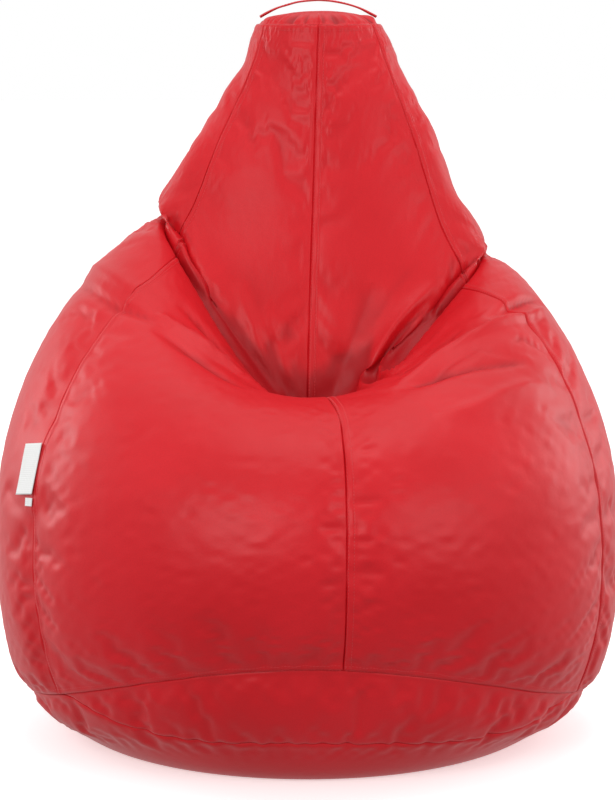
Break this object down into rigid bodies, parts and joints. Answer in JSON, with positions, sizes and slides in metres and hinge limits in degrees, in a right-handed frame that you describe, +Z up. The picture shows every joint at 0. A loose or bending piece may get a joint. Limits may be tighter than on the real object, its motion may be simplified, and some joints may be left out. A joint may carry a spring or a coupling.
{
  "type": "bean bag chair",
  "caption": "Teardrop bean bag chair of sewn leatherette gores with a reclined backrest, seat hollow, carry handle and rear filling zip.",
  "frame": {"origin": "on the floor, at the centre of the bag's footprint box", "axes": "+Z up; the sitter faces -Y; +X is the sitter's left"},
  "size_m": [0.8641, 0.874, 1.026],
  "materials": {
    "leatherette": "satin",
    "liner_cloth": "matte",
    "beads": "matte",
    "label_cloth": "woven",
    "zip_tape": "woven",
    "zip_teeth": "satin",
    "zip_metal": "gloss"
  },
  "bodies": {
    "bag": {"front_left_panel": "leatherette", "side_left_panel": "leatherette", "back_left_panel": "leatherette", "back_right_panel": "leatherette", "side_right_panel": "leatherette", "front_right_panel": "leatherette", "base_front_segment": "leatherette", "base_back_segment": "leatherette", "base_centre_panel": "leatherette", "inner_liner": "liner_cloth", "bead_fill": "beads", "top_cap": "leatherette", "zip_tape_left": "zip_tape", "zip_teeth_left": "zip_teeth", "zip_tape_right": "zip_tape", "zip_teeth_right": "zip_teeth", "zip_top_stops": "zip_metal", "zip_bottom_stop": "zip_metal"},
    "carry_handle": {"carry_handle": "leatherette"},
    "zip_slider": {"zip_slider": "zip_metal"},
    "zip_pull": {"zip_pull": "zip_metal"},
    "side_label": {"side_label": "label_cloth"},
    "size_tag": {"size_tag": "label_cloth"}
  },
  "joints": [
    {"name": "handle_swing", "type": "hinge", "parent": "bag", "child": "carry_handle", "pos_m": [0.0156, 0.255, 1.002], "axis": [1, 0, 0], "range_deg": [-45, 45]},
    {"name": "zip_travel", "type": "slide", "parent": "bag", "child": "zip_slider", "axis": [0, 0, -1], "range_m": [0, 0.286]},
    {"name": "pull_swing", "type": "hinge", "parent": "zip_slider", "child": "zip_pull", "pos_m": [0, 0.4415, 0.4235], "axis": [1, 0, 0], "range_deg": [0, 150]},
    {"name": "label_flap", "type": "hinge", "parent": "bag", "child": "side_label", "pos_m": [-0.35972, -0.1991, 0.40641], "axis": [0.1823, 0.2804, 0.9424], "range_deg": [0, 150]},
    {"name": "tag_flap", "type": "hinge", "parent": "bag", "child": "size_tag", "pos_m": [-0.36568, -0.20922, 0.36272], "axis": [0.088, 0.1754, 0.9806], "range_deg": [0, 150]}
  ]
}
